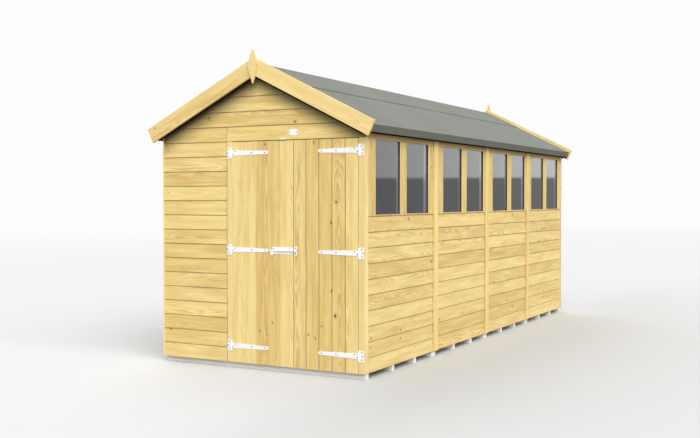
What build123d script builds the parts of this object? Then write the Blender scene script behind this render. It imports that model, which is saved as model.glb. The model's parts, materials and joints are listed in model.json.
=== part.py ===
from build123d import *
import math
import os

# Wooden garden shed with an apex roof, a pair of doors and a wall of windows.
# Sizes are in millimetres. X runs across to the window wall, Y from the doors to the back
# and Z up. The origin is the middle of the plan, on the ground.

# Walls: framed panels with lapped boards outside
shed_width = 1800.0
side_panel_length = 1175.0
side_panel_count = 4
cladding_thickness = 12.0
frame_depth = 45.5
panel_joint_gap = 1.0
board_course = 111.7
board_lap_step = 5.0
ground_clearance = 44.0
frame_member = 44.0
stud_width = 34.0
top_rail_height = 58.0
side_mid_rail_z = 900.0

# Doorway, counted in board courses up to the head
door_head_course_count = 15
wall_above_door = 113.2
doorway_width = 1100.0
right_post_width = 45.0
left_post_width = 38.0
door_setback = 3.0
door_gap = 5.0
door_board_count = 5
door_board_thickness = 12.0
door_groove = 3.0
ledge_thickness = 22.0
ledge_height = 95.0
ledge_end_inset = 22.0
brace_width = 80.0
brace_heel = 60.0
brace_end_gap = 0.5

# Windows, one pair to each panel of the right wall, between a near and a far stile
sill_course_count = 10
sill_height = 10.0
wall_above_windows = 118.7
window_stile_widths = ((113.0, 137.0), (170.0, 80.0), (170.0, 80.0), (140.0, 110.0))
window_mullion_width = 120.0
window_board_thickness = 12.0
glass_thickness = 3.0
glass_lap = 10.0

# Cover strips over the panel joints
cover_strip_width = 78.0
cover_strip_thickness = 12.0

# Floor
bearer_width = 34.0
bearer_end_inset = 5.0
bearer_shares = (0.0, 0.36, 0.7, 1.0)
bearer_setback = 38.0
floor_board_thickness = 12.0
floor_setback = 20.0
floor_clearance = 1.0

# Roof
roof_pitch = 26.4
eaves_overhang = 81.0
felt_thickness = 2.0
roof_board_thickness = 11.0
ridge_felt_width = 400.0
roof_gable_overhang = 37.0
eaves_batten_depth = 44.0
eaves_batten_width = 34.0
purlin_depth = 44.0
purlin_width = 34.0
purlin_slope_share = 0.5
ridge_beam_width = 28.0
ridge_beam_depth = 120.0
rafter_depth = 58.0
rafter_width = 34.0
collar_height = 70.0
collar_thickness = 22.0
collar_below_purlin = 15.0
gable_rail_depth = 44.0

# Barge boards and finials
barge_width = 117.0
barge_thickness = 20.0
barge_above_felt = 32.0
barge_overrun = 13.0
finial_width = 90.0
finial_thickness = 15.0
finial_top_above_ridge = 100.0
finial_shoulder_drop = 120.0
finial_height = 256.0
finial_tip_width = 5.0

# Tee hinges
hinge_axis_off_face = 4.0
hinge_knuckle_radius = 4.0
hinge_pin_radius = 2.0
hinge_pin_clearance = 0.08
hinge_leaf_thickness = 3.0
hinge_plate_height = 80.0
hinge_plate_reach = 39.0
strap_to_bolt_gap = 36.5
hinge_strap_root = 41.0
hinge_strap_tip = 25.0
hinge_first_z = 170.0
hinge_spacing = 730.0
hinge_axial_clearance = 0.3

# Pad bolt, its keep, the turn button and the blank plate
bolt_z = 903.0
bolt_plate_length = 176.0
bolt_plate_height = 52.0
bolt_plate_corner = 3.0
bolt_plate_thickness = 2.0
bolt_plate_edge_inset = 0.5
bolt_rod_radius = 5.0
bolt_rod_clearance = 0.3
bolt_loop_wall = 3.0
bolt_loop_bend = 3.0
bolt_loop_width = 14.0
bolt_loop_offsets = (61.0, 106.0)
bolt_tip_inset = 4.5
bolt_rod_length = 197.0
bolt_tab_width = 31.0
bolt_tab_thickness = 3.0
bolt_tab_shoulder = 24.0
bolt_tab_drop = 38.0
bolt_tab_tip_width = 6.0
bolt_tab_from_tail = 10.0
keep_width = 27.5
keep_height = 69.0
keep_neck_width = 14.0
keep_edge_inset = 8.0
keep_hole_clearance = 1.5
button_from_leaf_edge = 76.5
button_above_head = 7.5
button_length = 58.0
button_width = 14.0
button_thickness = 4.0
button_screw_radius = 2.5
button_screw_clearance = 0.08
button_washer_radius = 6.0
button_washer_thickness = 2.0
button_face_gap = 0.3
plate_from_doorway_middle = 5.0
plate_above_head = 52.0
plate_length = 77.0
plate_height = 47.0
plate_thickness = 2.0

# How far a solid that cuts another runs past it
cut_past = 1.0

# Derived places
pitch = math.radians(roof_pitch)
wall_thickness = cladding_thickness + frame_depth
shed_length = side_panel_count * side_panel_length + 2 * wall_thickness
half_width = shed_width / 2
half_length = shed_length / 2
front = -half_length
back = half_length
frame_inner_x = half_width - wall_thickness
frame_outer_x = half_width - cladding_thickness
door_head = ground_clearance + door_head_course_count * board_course
sill_bottom = ground_clearance + sill_course_count * board_course
window_bottom = sill_bottom + sill_height
floor_top = ground_clearance + floor_board_thickness
doorway_right = half_width - right_post_width
doorway_left = doorway_right - doorway_width
left_post_x = doorway_left - left_post_width
door_face = front + door_setback
roof_end = half_length + roof_gable_overhang
roof_skin = felt_thickness + roof_board_thickness
eaves_z = door_head + wall_above_door
window_top = eaves_z - wall_above_windows
ridge_height = eaves_z + half_width * math.tan(pitch) + roof_skin / math.cos(pitch)
felt_slope = (half_width + eaves_overhang) / math.cos(pitch)
leaf_width = (doorway_width - 3 * door_gap) / 2
leaf_top = door_head - door_gap
panel_starts = [front + wall_thickness + i * side_panel_length for i in range(side_panel_count)]
trim_half_width = half_width + cover_strip_thickness + cut_past


def block(x0, x1, y0, y1, z0, z1):
    """A square-edged solid between two corners."""
    return Pos((x0 + x1) / 2, (y0 + y1) / 2, (z0 + z1) / 2) * Box(x1 - x0, y1 - y0, z1 - z0)


def prism_along_y(outline, y0, y1):
    """Extrude an outline of (x, z) points from y0 to y1."""
    face = make_face(Polyline(*[(x, y0, z) for x, z in outline], close=True))
    return extrude(face, amount=y1 - y0, dir=(0, 1, 0))


def prism_along_x(outline, x0, x1):
    """Extrude an outline of (y, z) points from x0 to x1."""
    face = make_face(Polyline(*[(x0, y, z) for y, z in outline], close=True))
    return extrude(face, amount=x1 - x0, dir=(1, 0, 0))


def rod(point, direction, radius, length):
    """A round bar from a point along a direction."""
    return extrude(Plane(point, z_dir=direction) * Circle(radius), amount=length)


def write(node, *solids):
    """Write one named piece; like pieces that don't touch share a file."""
    bodies = [body for shape in solids for body in shape.solids()]
    shape = bodies[0] if len(bodies) == 1 else Compound(children=bodies)
    shape.label = node
    export_step(shape, f"parts/{node}.step")


# Roof geometry: u runs down the slope from the ridge, v inwards from the felt's face

def roof_point(u, v, side):
    x = u * math.cos(pitch) - v * math.sin(pitch)
    z = ridge_height - u * math.sin(pitch) - v * math.cos(pitch)
    return (side * x, z)


def roof_strip(u0, u1, v0, v1, y0, y1, side):
    """A flat board in the slope; u0 of None mitres it at the ridge."""
    mitre = math.tan(pitch)
    outline = [
        roof_point(v0 * mitre if u0 is None else u0, v0, side),
        roof_point(u1, v0, side),
        roof_point(u1, v1, side),
        roof_point(v1 * mitre if u0 is None else u0, v1, side),
    ]
    return prism_along_y(outline, y0, y1)


def underside_z(x, v=roof_skin):
    """Height of the plane v inside the felt's face, above a point x."""
    return ridge_height - abs(x) * math.tan(pitch) - v / math.cos(pitch)


def trim_to_roof(shape):
    """Cut a solid off at the underside of the roof boards."""
    eaves = underside_z(trim_half_width)
    outline = [(-trim_half_width, 0), (trim_half_width, 0), (trim_half_width, eaves),
               (0, underside_z(0)), (-trim_half_width, eaves)]
    return shape & prism_along_y(outline, front - cut_past, back + cut_past)


def lapped_outline(bottom, top):
    """Section of lapped boards as (depth from the wall's face, z) points."""
    outline = [(cladding_thickness, top), (cladding_thickness, bottom)]
    course_count = math.ceil(round((top - bottom) / board_course, 6))
    for i in range(course_count):
        z = bottom + i * board_course
        course_top = min(z + board_course, top)
        step = board_lap_step * (course_top - z) / board_course
        outline += [(0.0, z), (step, course_top)]
    return outline


def side_cladding(side, y0, y1, bottom, top):
    outline = [(side * (half_width - depth), z) for depth, z in lapped_outline(bottom, top)]
    return prism_along_y(outline, y0, y1)


def end_cladding(end, x0, x1, bottom, top):
    outline = [(end * (half_length - depth), z) for depth, z in lapped_outline(bottom, top)]
    return prism_along_x(outline, x0, x1)


# Floor

def floor_module_ends():
    start = front + floor_setback
    module = (shed_length - 2 * floor_setback) / side_panel_count
    return [(start + i * module, start + (i + 1) * module) for i in range(side_panel_count)]


def floor_bearers():
    start = front + bearer_setback
    module = (shed_length - 2 * bearer_setback) / side_panel_count
    travel = module - bearer_width - 2 * floor_clearance
    bearers = []
    for m in range(side_panel_count):
        for share in bearer_shares:
            y = start + m * module + floor_clearance + share * travel
            bearers.append(block(-half_width + bearer_end_inset, half_width - bearer_end_inset,
                                 y, y + bearer_width, 0, ground_clearance))
    return bearers


def floor_panels():
    edge = frame_outer_x - floor_clearance
    return [block(-edge, edge, y0 + floor_clearance / 2, y1 - floor_clearance / 2,
                  ground_clearance, floor_top) for y0, y1 in floor_module_ends()]


# Side walls

def panel_spans():
    """Both ends of each side panel, with the joint's gap taken off."""
    half_gap = panel_joint_gap / 2
    return [(y + half_gap, y + side_panel_length - half_gap) for y in panel_starts]


def side_claddings(side, top=None):
    wall_top = underside_z(frame_outer_x) + cut_past
    return [trim_to_roof(side_cladding(side, y0, y1, ground_clearance, top or wall_top))
            for y0, y1 in panel_spans()]


def side_box(side, depth0, depth1, y0, y1, z0, z1):
    """A block given by its depth from the side wall's outer face."""
    outer = side * (half_width - depth0)
    inner = side * (half_width - depth1)
    return block(min(outer, inner), max(outer, inner), y0, y1, z0, z1)


def frame_box(side, y0, y1, z0, z1):
    return side_box(side, cladding_thickness, wall_thickness, y0, y1, z0, z1)


top_rail_bottom = underside_z(frame_inner_x) - top_rail_height


def stud_middles(side):
    """Place of each panel's middle stud, which stands behind the mullion in the window wall."""
    if side < 0:
        return [(y0 + y1) / 2 for y0, y1 in panel_spans()]
    return [(near_stop + far_start) / 2 for _, _, ((_, near_stop), (far_start, _)) in window_spans()]


def side_studs(side):
    studs = []
    for (y0, y1), middle in zip(panel_spans(), stud_middles(side)):
        for start in (y0, middle - stud_width / 2, y1 - stud_width):
            studs.append(frame_box(side, start, start + stud_width,
                                   floor_top + frame_member, top_rail_bottom))
    return studs


def side_rails(side, middle_rails):
    """Bottom and top rails, and short rails between the studs at the heights given."""
    rails = []
    for (y0, y1), middle in zip(panel_spans(), stud_middles(side)):
        rails.append(frame_box(side, y0, y1, floor_top, floor_top + frame_member))
        rails.append(trim_to_roof(frame_box(side, y0, y1, top_rail_bottom,
                                            underside_z(frame_inner_x) + cut_past)))
        for z in middle_rails:
            rails.append(frame_box(side, y0 + stud_width, middle - stud_width / 2, z, z + frame_member))
            rails.append(frame_box(side, middle + stud_width / 2, y1 - stud_width, z, z + frame_member))
    return rails


def cover_strips(side):
    """Upright strips over the joints between side panels."""
    strips = []
    for y in panel_starts[1:]:
        strips.append(trim_to_roof(side_box(side, -cover_strip_thickness, 0,
                                            y - cover_strip_width / 2, y + cover_strip_width / 2,
                                            ground_clearance, underside_z(half_width))))
    return strips


# Windows in the right wall

def window_bays(y0, y1, near_stile, far_stile):
    """Both ends of the two equal bays of glass in one panel."""
    bay = (y1 - y0 - near_stile - far_stile - window_mullion_width) / 2
    return [(y0 + near_stile, y0 + near_stile + bay), (y1 - far_stile - bay, y1 - far_stile)]


def window_spans():
    """Both ends of each panel of the window wall, with its two bays."""
    return [(y0, y1, window_bays(y0, y1, *stiles))
            for (y0, y1), stiles in zip(panel_spans(), window_stile_widths)]


def window_board(y0, y1, z0, z1):
    return side_box(1, 0, window_board_thickness, y0, y1, z0, z1)


def window_uprights():
    """Stiles and mullions, which stand on the top board under the windows."""
    uprights = []
    for y0, y1, ((near_start, near_stop), (far_start, far_stop)) in window_spans():
        for start, stop in ((y0, near_start), (near_stop, far_start), (far_stop, y1)):
            uprights.append(window_board(start, stop, sill_bottom, window_top))
    return uprights


def window_rails():
    """A sill under each pane and one head board to a panel."""
    rails = []
    for y0, y1, bays in window_spans():
        for start, stop in bays:
            rails.append(window_board(start, stop, sill_bottom, window_bottom))
        head_top = underside_z(frame_outer_x) + cut_past
        rails.append(trim_to_roof(window_board(y0, y1, window_top, head_top)))
    return rails


def window_panes():
    return [side_box(1, window_board_thickness, window_board_thickness + glass_thickness,
                     start - glass_lap, stop + glass_lap,
                     window_bottom - glass_lap, window_top + glass_lap)
            for _, _, bays in window_spans() for start, stop in bays]


# Front and back walls

def end_frame_box(end, x0, x1, z0, z1):
    outer = end * (half_length - cladding_thickness)
    inner = end * (half_length - wall_thickness)
    return block(x0, x1, min(outer, inner), max(outer, inner), z0, z1)


def raking_rail(end, side):
    """Frame member under the roof boards along one slope of a gable."""
    outer = end * (half_length - cladding_thickness)
    inner = end * (half_length - wall_thickness)
    top = (ridge_beam_width / 2 + roof_skin * math.sin(pitch)) / math.cos(pitch)
    foot = (half_width + roof_skin * math.sin(pitch)) / math.cos(pitch)
    upper = [roof_point(top, roof_skin, side), roof_point(foot, roof_skin, side)]
    drop = gable_rail_depth / math.cos(pitch)
    outline = upper + [(x, z - drop) for x, z in reversed(upper)]
    return prism_along_y(outline, min(outer, inner), max(outer, inner))


def gable_rail_z(x):
    """Underside of the raking rail above x."""
    return underside_z(x) - gable_rail_depth / math.cos(pitch)


def gable_stud(end, x0, x1, bottom):
    """A stud whose head is cut to the raking rail."""
    outer = end * (half_length - cladding_thickness)
    inner = end * (half_length - wall_thickness)
    outline = [(x0, bottom), (x1, bottom), (x1, gable_rail_z(x1)), (x0, gable_rail_z(x0))]
    return prism_along_y(outline, min(outer, inner), max(outer, inner))


def front_frame():
    """Studs and rails behind the front boards, clear of the doorway."""
    left = -half_width
    middle = (left + left_post_x) / 2
    foot = floor_top + frame_member
    header_top = door_head + frame_member
    stud_gap = frame_member / 2
    return [
        end_frame_box(-1, left, left_post_x, floor_top, foot),
        end_frame_box(-1, left, left + stud_width, foot, door_head),
        end_frame_box(-1, middle - stud_width / 2, middle + stud_width / 2, foot, door_head),
        end_frame_box(-1, -half_width, half_width, door_head, header_top),
        raking_rail(-1, -1),
        raking_rail(-1, 1),
        gable_stud(-1, -half_width / 2 - stud_gap, -half_width / 2 + stud_gap, header_top),
        gable_stud(-1, half_width / 2 - stud_gap, half_width / 2 + stud_gap, header_top),
    ]


def back_frame():
    """Studs and rails behind the back boards."""
    foot = floor_top + frame_member
    waist = door_head
    pieces = [
        end_frame_box(1, -half_width, half_width, floor_top, foot),
        end_frame_box(1, -half_width, half_width, waist, waist + frame_member),
        raking_rail(1, -1),
        raking_rail(1, 1),
    ]
    bay = (shed_width - stud_width) / 3
    for i in range(4):
        x = -half_width + i * bay
        pieces.append(end_frame_box(1, x, x + stud_width, foot, waist))
    for x in (-half_width / 2, half_width / 2):
        pieces.append(gable_stud(1, x - frame_member / 2, x + frame_member / 2, waist + frame_member))
    return pieces


def door_posts():
    """Posts beside the doorway, notched over the floor's edge."""
    inner = front + wall_thickness
    edge = frame_outer_x - floor_clearance
    floor = block(-edge, edge, front + floor_setback, inner + cut_past, 0, floor_top)
    return [
        block(left_post_x, doorway_left, door_face, inner, ground_clearance, door_head) - floor,
        block(doorway_right, half_width, door_face, inner, ground_clearance, door_head) - floor,
    ]


# Roof carcass and covering

def roof_boards(side):
    return roof_strip(None, felt_slope - felt_thickness, felt_thickness, roof_skin,
                      -roof_end, roof_end, side)


def eaves_batten(side):
    outer = felt_slope - felt_thickness
    return roof_strip(outer - eaves_batten_width, outer, roof_skin, roof_skin + eaves_batten_depth,
                      -roof_end, roof_end, side)


def ridge_beam():
    half = ridge_beam_width / 2
    top = underside_z(0)
    outline = [(-half, top - ridge_beam_depth), (half, top - ridge_beam_depth),
               (half, underside_z(half)), (0, top), (-half, underside_z(half))]
    return prism_along_y(outline, front + cladding_thickness, back - cladding_thickness)


def rafter(side, y):
    """A rafter from the ridge beam to the inside of the wall's top rail."""
    head_x = ridge_beam_width / 2
    low_v = roof_skin + rafter_depth
    corners = [(head_x, roof_skin), (frame_inner_x, roof_skin), (frame_inner_x, low_v), (head_x, low_v)]
    outline = [(side * x, underside_z(x, v)) for x, v in corners]
    return prism_along_y(outline, y - rafter_width / 2, y + rafter_width / 2)


def rafters():
    return [rafter(side, y) for y in panel_starts[1:] for side in (-1, 1)]


def collars():
    """Ties across each pair of rafters, fixed to their back faces."""
    purlin_foot = felt_slope * purlin_slope_share + purlin_width / 2
    top_z = roof_point(purlin_foot, roof_skin + purlin_depth, 1)[1] - collar_below_purlin
    low_z = top_z - collar_height
    reach = (underside_z(0) - low_z) / math.tan(pitch)
    top_reach = (underside_z(0) - top_z) / math.tan(pitch)
    outline = [(-reach, low_z), (reach, low_z), (top_reach, top_z), (-top_reach, top_z)]
    ties = []
    for y in panel_starts[1:]:
        y0 = y + rafter_width / 2
        ties.append(prism_along_y(outline, y0, y0 + collar_thickness))
    return ties


def purlins():
    """Battens under the roof boards, cut between the gables and the rafters."""
    stops = [front + wall_thickness] + panel_starts[1:] + [back - wall_thickness]
    u = felt_slope * purlin_slope_share
    pieces = []
    for i, (y0, y1) in enumerate(zip(stops, stops[1:])):
        low = y0 if i == 0 else y0 + rafter_width / 2
        high = y1 if i == side_panel_count - 1 else y1 - rafter_width / 2
        for side in (-1, 1):
            pieces.append(roof_strip(u - purlin_width / 2, u + purlin_width / 2,
                                     roof_skin, roof_skin + purlin_depth, low, high, side))
    return pieces


def felt_sheet(side):
    return roof_strip(None, felt_slope, 0, felt_thickness, -roof_end, roof_end, side)


def felt_fascia(side):
    """Felt turned down over the eaves batten."""
    return roof_strip(felt_slope - felt_thickness, felt_slope, felt_thickness,
                      roof_skin + eaves_batten_depth, -roof_end, roof_end, side)


def ridge_felt(side):
    return roof_strip(None, ridge_felt_width, -felt_thickness, 0, -roof_end, roof_end, side)


def barge_board(end, side):
    inner = end * roof_end
    outer = end * (roof_end + barge_thickness)
    return roof_strip(None, felt_slope + barge_overrun, -barge_above_felt, barge_width - barge_above_felt,
                      min(inner, outer), max(inner, outer), side)


def finial(end):
    inner = end * (roof_end + barge_thickness)
    outer = inner + end * finial_thickness
    top = ridge_height + finial_top_above_ridge
    half = finial_width / 2
    tip = finial_tip_width / 2
    shoulder = top - finial_shoulder_drop
    foot = top - finial_height
    outline = [(-tip, top), (tip, top), (half, shoulder), (tip, foot), (-tip, foot), (-half, shoulder)]
    return prism_along_y(outline, min(inner, outer), max(inner, outer))


# Doors

def leaf_edges(side):
    """Hinge edge and meeting edge of a leaf; side is -1 for the left one."""
    if side < 0:
        return (doorway_left + door_gap, doorway_left + door_gap + leaf_width)
    return (doorway_right - door_gap, doorway_right - door_gap - leaf_width)


def door_boards(side):
    """Five upright boards with a groove at each joint."""
    low, high = sorted(leaf_edges(side))
    board = leaf_width / door_board_count
    inner = door_face + door_board_thickness
    outline = [(low, inner), (low, door_face)]
    for i in range(1, door_board_count):
        x = low + i * board
        outline += [(x - door_groove, door_face), (x, door_face + door_groove), (x + door_groove, door_face)]
    outline += [(high, door_face), (high, inner)]
    face = make_face(Polyline(*[(x, y, ground_clearance) for x, y in outline], close=True))
    return extrude(face, amount=leaf_top - ground_clearance, dir=(0, 0, 1))


def hinge_heights():
    return [hinge_first_z + i * hinge_spacing for i in range(3)]


def door_ledges(side):
    low, high = sorted(leaf_edges(side))
    y0 = door_face + door_board_thickness
    return [block(low + ledge_end_inset, high - ledge_end_inset, y0, y0 + ledge_thickness,
                  z - ledge_height / 2, z + ledge_height / 2) for z in hinge_heights()]


def door_braces(side):
    """Slanting braces that rise from the hinge side, between the ledges."""
    hinge, meeting = leaf_edges(side)
    inward = 1 if meeting > hinge else -1
    y0 = door_face + door_board_thickness
    heel = hinge + inward * (ledge_end_inset + brace_heel)
    toe = meeting - inward * (ledge_end_inset + brace_heel)
    heights = hinge_heights()
    pieces = []
    for low, high in zip(heights, heights[1:]):
        z0 = low + ledge_height / 2 + brace_end_gap
        z1 = high - ledge_height / 2 - brace_end_gap
        outline = [(heel - brace_width / 2, z0), (heel + brace_width / 2, z0),
                   (toe + brace_width / 2, z1), (toe - brace_width / 2, z1)]
        pieces.append(prism_along_y(outline, y0, y0 + ledge_thickness))
    return pieces


# Tee hinges

def hinge_axis(side):
    """Place of a door's hinge pins, in the gap beside its post."""
    x = doorway_left + door_gap / 2 if side < 0 else doorway_right - door_gap / 2
    return (x, door_face - hinge_axis_off_face)


def knuckle_spans(z):
    """Heights of the post plate's two knuckles, above and below the strap's."""
    root = hinge_strap_root / 2
    half = hinge_plate_height / 2
    return [(z - half, z - root), (z + root, z + half)]


def hinge_plate(side, z):
    """Plate on the post with its two knuckles and the pin."""
    x, y = hinge_axis(side)
    outward = -1 if side < 0 else 1
    near = x + outward * hinge_pin_radius
    far = x + outward * hinge_plate_reach
    low, high = z - hinge_plate_height / 2, z + hinge_plate_height / 2
    seat = x + outward * (hinge_knuckle_radius + hinge_axial_clearance)
    plate_face = door_face - hinge_leaf_thickness
    plate = block(min(seat, far), max(seat, far), plate_face, door_face, low, high)
    for z0, z1 in knuckle_spans(z):
        plate += block(min(near, seat), max(near, seat), plate_face, door_face, z0, z1)
        plate += rod((x, y, z0), (0, 0, 1), hinge_knuckle_radius, z1 - z0)
    return plate + rod((x, y, low), (0, 0, 1), hinge_pin_radius, high - low)


def hinge_strap(side, z):
    """Tapered strap on the leaf, with a round end and its knuckle; it stops short of the bolt."""
    x, y = hinge_axis(side)
    inward = 1 if side < 0 else -1
    tip_radius = hinge_strap_tip / 2
    length = leaf_width + door_gap / 2 - bolt_plate_edge_inset - bolt_plate_length - strap_to_bolt_gap
    tip_x = x + inward * (length - tip_radius)
    root = hinge_strap_root / 2 - hinge_axial_clearance
    outline = [(x, z - root), (tip_x, z - tip_radius), (tip_x, z + tip_radius), (x, z + root)]
    strap = prism_along_y(outline, door_face - hinge_leaf_thickness, door_face)
    strap += rod((tip_x, door_face, z), (0, -1, 0), tip_radius, hinge_leaf_thickness)
    strap += rod((x, y, z - root), (0, 0, 1), hinge_knuckle_radius, 2 * root)
    bore = hinge_pin_radius + hinge_pin_clearance
    return strap - rod((x, y, z - root - cut_past), (0, 0, 1), bore, 2 * (root + cut_past))


# Pad bolt on the left leaf and its keep on the right one

bolt_edge = doorway_left + door_gap + leaf_width
keep_edge = bolt_edge + door_gap
rod_y = door_face - bolt_plate_thickness - bolt_rod_radius - bolt_rod_clearance


def bolt_loop(middle_x, width, bore, back_y):
    """A bridge of bent strip over the rod, seated on its back plate."""
    outer = bore + bolt_loop_wall
    front_y = rod_y - outer
    outline = [(back_y, bolt_z - outer), (front_y + bolt_loop_bend, bolt_z - outer),
               (front_y, bolt_z - outer + bolt_loop_bend), (front_y, bolt_z + outer - bolt_loop_bend),
               (front_y + bolt_loop_bend, bolt_z + outer), (back_y, bolt_z + outer)]
    half = width / 2
    bridge = prism_along_x(outline, middle_x - half, middle_x + half)
    return bridge - block(middle_x - half - cut_past, middle_x + half + cut_past,
                          rod_y - bore, back_y + cut_past, bolt_z - bore, bolt_z + bore)


def door_plate(sketch, x, z):
    """A flat plate that lies on the door's face, from its outline."""
    return extrude(Pos(x, door_face, z) * Rot(90, 0, 0) * sketch, amount=bolt_plate_thickness, dir=(0, -1, 0))


def bolt_plate():
    high = bolt_edge - bolt_plate_edge_inset
    back_y = door_face - bolt_plate_thickness
    outline = RectangleRounded(bolt_plate_length, bolt_plate_height, bolt_plate_corner)
    plate = door_plate(outline, high - bolt_plate_length / 2, bolt_z)
    for offset in bolt_loop_offsets:
        plate += bolt_loop(high - offset, bolt_loop_width, bolt_rod_radius + bolt_rod_clearance, back_y)
    return plate


def bolt_keep():
    """Two round lugs joined by a neck, with a bridge that the bolt shoots through."""
    middle = keep_edge + keep_edge_inset + keep_width / 2
    lug = keep_width / 2
    reach = keep_height / 2 - lug
    outline = Rectangle(keep_neck_width, 2 * reach) + [Pos(0, z) * Circle(lug) for z in (-reach, reach)]
    plate = door_plate(outline, middle, bolt_z)
    back_y = door_face - bolt_plate_thickness
    return plate + bolt_loop(middle, keep_neck_width, bolt_rod_radius + keep_hole_clearance, back_y)


def bolt_bar():
    """Round bar, drawn back, with a pointed tab that hangs from its tail."""
    tip = bolt_edge - bolt_tip_inset
    tail = tip - bolt_rod_length
    bar = rod((tail, rod_y, bolt_z), (1, 0, 0), bolt_rod_radius, bolt_rod_length)
    low = tail + bolt_tab_from_tail
    high = low + bolt_tab_width
    middle = (low + high) / 2
    point = bolt_tab_tip_width / 2
    shoulder = bolt_z - bolt_tab_shoulder
    foot = bolt_z - bolt_tab_drop
    outline = [(low, bolt_z), (low, shoulder), (middle - point, foot), (middle + point, foot),
               (high, shoulder), (high, bolt_z)]
    half = bolt_tab_thickness / 2
    return bar + prism_along_y(outline, rod_y - half, rod_y + half)


# Turn button and blank plate above the doors

button_x = bolt_edge - button_from_leaf_edge
button_z = door_head + button_above_head
button_back = front - button_washer_thickness


def button_screw():
    """Screw that the button turns on, with its washer and head."""
    head_y = button_back - button_thickness - 2 * button_face_gap
    screw = rod((button_x, front, button_z), (0, -1, 0), button_washer_radius, button_washer_thickness)
    screw += rod((button_x, front, button_z), (0, -1, 0), button_screw_radius, front - head_y)
    return screw + rod((button_x, head_y, button_z), (0, -1, 0), 2 * button_screw_radius, button_screw_radius)


def turn_button():
    """The button lies level here, clear of the doors."""
    face = button_back - button_face_gap
    half = button_length / 2 - button_width / 2
    bar = block(button_x - half, button_x + half, face - button_thickness, face,
                button_z - button_width / 2, button_z + button_width / 2)
    for x in (button_x - half, button_x + half):
        bar += rod((x, face, button_z), (0, -1, 0), button_width / 2, button_thickness)
    return bar - rod((button_x, face + cut_past, button_z), (0, -1, 0),
                     button_screw_radius + button_screw_clearance, button_thickness + 2 * cut_past)


def blank_plate():
    """A pill-shaped plate with nothing on it, lying on the board over the doors."""
    lean = math.degrees(math.atan(board_lap_step / board_course))
    pill = extrude(SlotOverall(plate_length, plate_height), amount=plate_thickness)
    x = (doorway_left + doorway_right) / 2 + plate_from_doorway_middle
    z = door_head + plate_above_head
    face_y = front + board_lap_step * (plate_above_head / board_course)
    return Pos(x, face_y, z) * Rot(90 - lean, 0, 0) * pill


def build():
    os.makedirs("parts", exist_ok=True)
    write("floor_bearers", *floor_bearers())
    write("floor_panels", *floor_panels())
    write("left_cladding", *side_claddings(-1))
    write("right_cladding", *side_claddings(1, sill_bottom))
    header_top = door_head + board_course
    write("front_cladding", end_cladding(-1, -half_width, left_post_x, ground_clearance, header_top))
    gable_top = underside_z(0) + cut_past
    header = end_cladding(-1, left_post_x, half_width, door_head, header_top)
    gable = end_cladding(-1, -half_width, half_width, header_top, gable_top)
    write("front_gable", trim_to_roof(header + gable))
    write("back_cladding", trim_to_roof(end_cladding(1, -half_width, half_width, ground_clearance, gable_top)))
    window_rail_heights = [sill_bottom - frame_member, window_top + 2 * glass_lap]
    write("side_wall_studs", *side_studs(-1), *side_studs(1))
    write("side_wall_rails", *side_rails(-1, [side_mid_rail_z]), *side_rails(1, window_rail_heights))
    write("cover_strips", *cover_strips(-1), *cover_strips(1))
    write("window_uprights", *window_uprights())
    write("window_rails", *window_rails())
    write("window_panes", *window_panes())
    write("door_posts", *door_posts())
    write("front_frame", *front_frame())
    write("back_frame", *back_frame())
    for side, name in ((-1, "left"), (1, "right")):
        write(f"{name}_roof_boards", roof_boards(side))
        write(f"{name}_felt", felt_sheet(side))
        write(f"{name}_ridge_felt", ridge_felt(side))
        write(f"{name}_barge_boards", barge_board(-1, side), barge_board(1, side))
        write(f"{name}_door_boards", door_boards(side))
        write(f"{name}_door_ledges", *door_ledges(side), *door_braces(side))
        write(f"{name}_hinge_straps", *[hinge_strap(side, z) for z in hinge_heights()])
    write("hinge_plates", *[hinge_plate(side, z) for side in (-1, 1) for z in hinge_heights()])
    write("eaves_battens", eaves_batten(-1), eaves_batten(1))
    write("felt_fascias", felt_fascia(-1), felt_fascia(1))
    write("ridge_beam", ridge_beam())
    write("rafters", *rafters())
    write("purlins", *purlins())
    write("collar_ties", *collars())
    write("finials", finial(-1), finial(1))
    write("bolt_plate", bolt_plate())
    write("bolt_keep", bolt_keep())
    write("bolt_bar", bolt_bar())
    write("button_screw", button_screw())
    write("turn_button", turn_button())
    write("blank_plate", blank_plate())


build()
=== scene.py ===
import json
import math

import bmesh
import bpy
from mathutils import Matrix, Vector


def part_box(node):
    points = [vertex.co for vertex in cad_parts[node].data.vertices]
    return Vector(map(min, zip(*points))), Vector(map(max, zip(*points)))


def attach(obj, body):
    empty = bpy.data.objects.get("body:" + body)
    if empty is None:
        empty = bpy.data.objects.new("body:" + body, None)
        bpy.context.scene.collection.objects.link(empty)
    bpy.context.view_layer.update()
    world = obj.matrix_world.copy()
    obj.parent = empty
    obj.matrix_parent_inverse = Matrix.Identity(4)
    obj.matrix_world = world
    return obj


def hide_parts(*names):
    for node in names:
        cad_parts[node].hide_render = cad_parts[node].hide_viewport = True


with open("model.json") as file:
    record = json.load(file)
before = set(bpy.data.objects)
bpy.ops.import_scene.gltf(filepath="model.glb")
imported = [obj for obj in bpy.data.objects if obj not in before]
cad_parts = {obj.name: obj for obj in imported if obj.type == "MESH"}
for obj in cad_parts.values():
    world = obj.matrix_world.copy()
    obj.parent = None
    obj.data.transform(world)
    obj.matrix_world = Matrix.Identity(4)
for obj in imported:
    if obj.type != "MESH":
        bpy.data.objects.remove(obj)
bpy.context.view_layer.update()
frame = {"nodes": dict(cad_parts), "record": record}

# Sizes in metres, in the frame's axes: X across to the windows, Y to the back, Z up
half_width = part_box("right_cladding")[1].x
half_length = -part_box("front_cladding")[0].y
front = -half_length
cladding = 0.012
wall = 0.0575
panel_count = 4
panel_length = 2 * (half_length - wall) / panel_count
panel_gap = 0.001
ground_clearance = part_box("floor_bearers")[1].z
course = 0.1117
lap_step = 0.005
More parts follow.
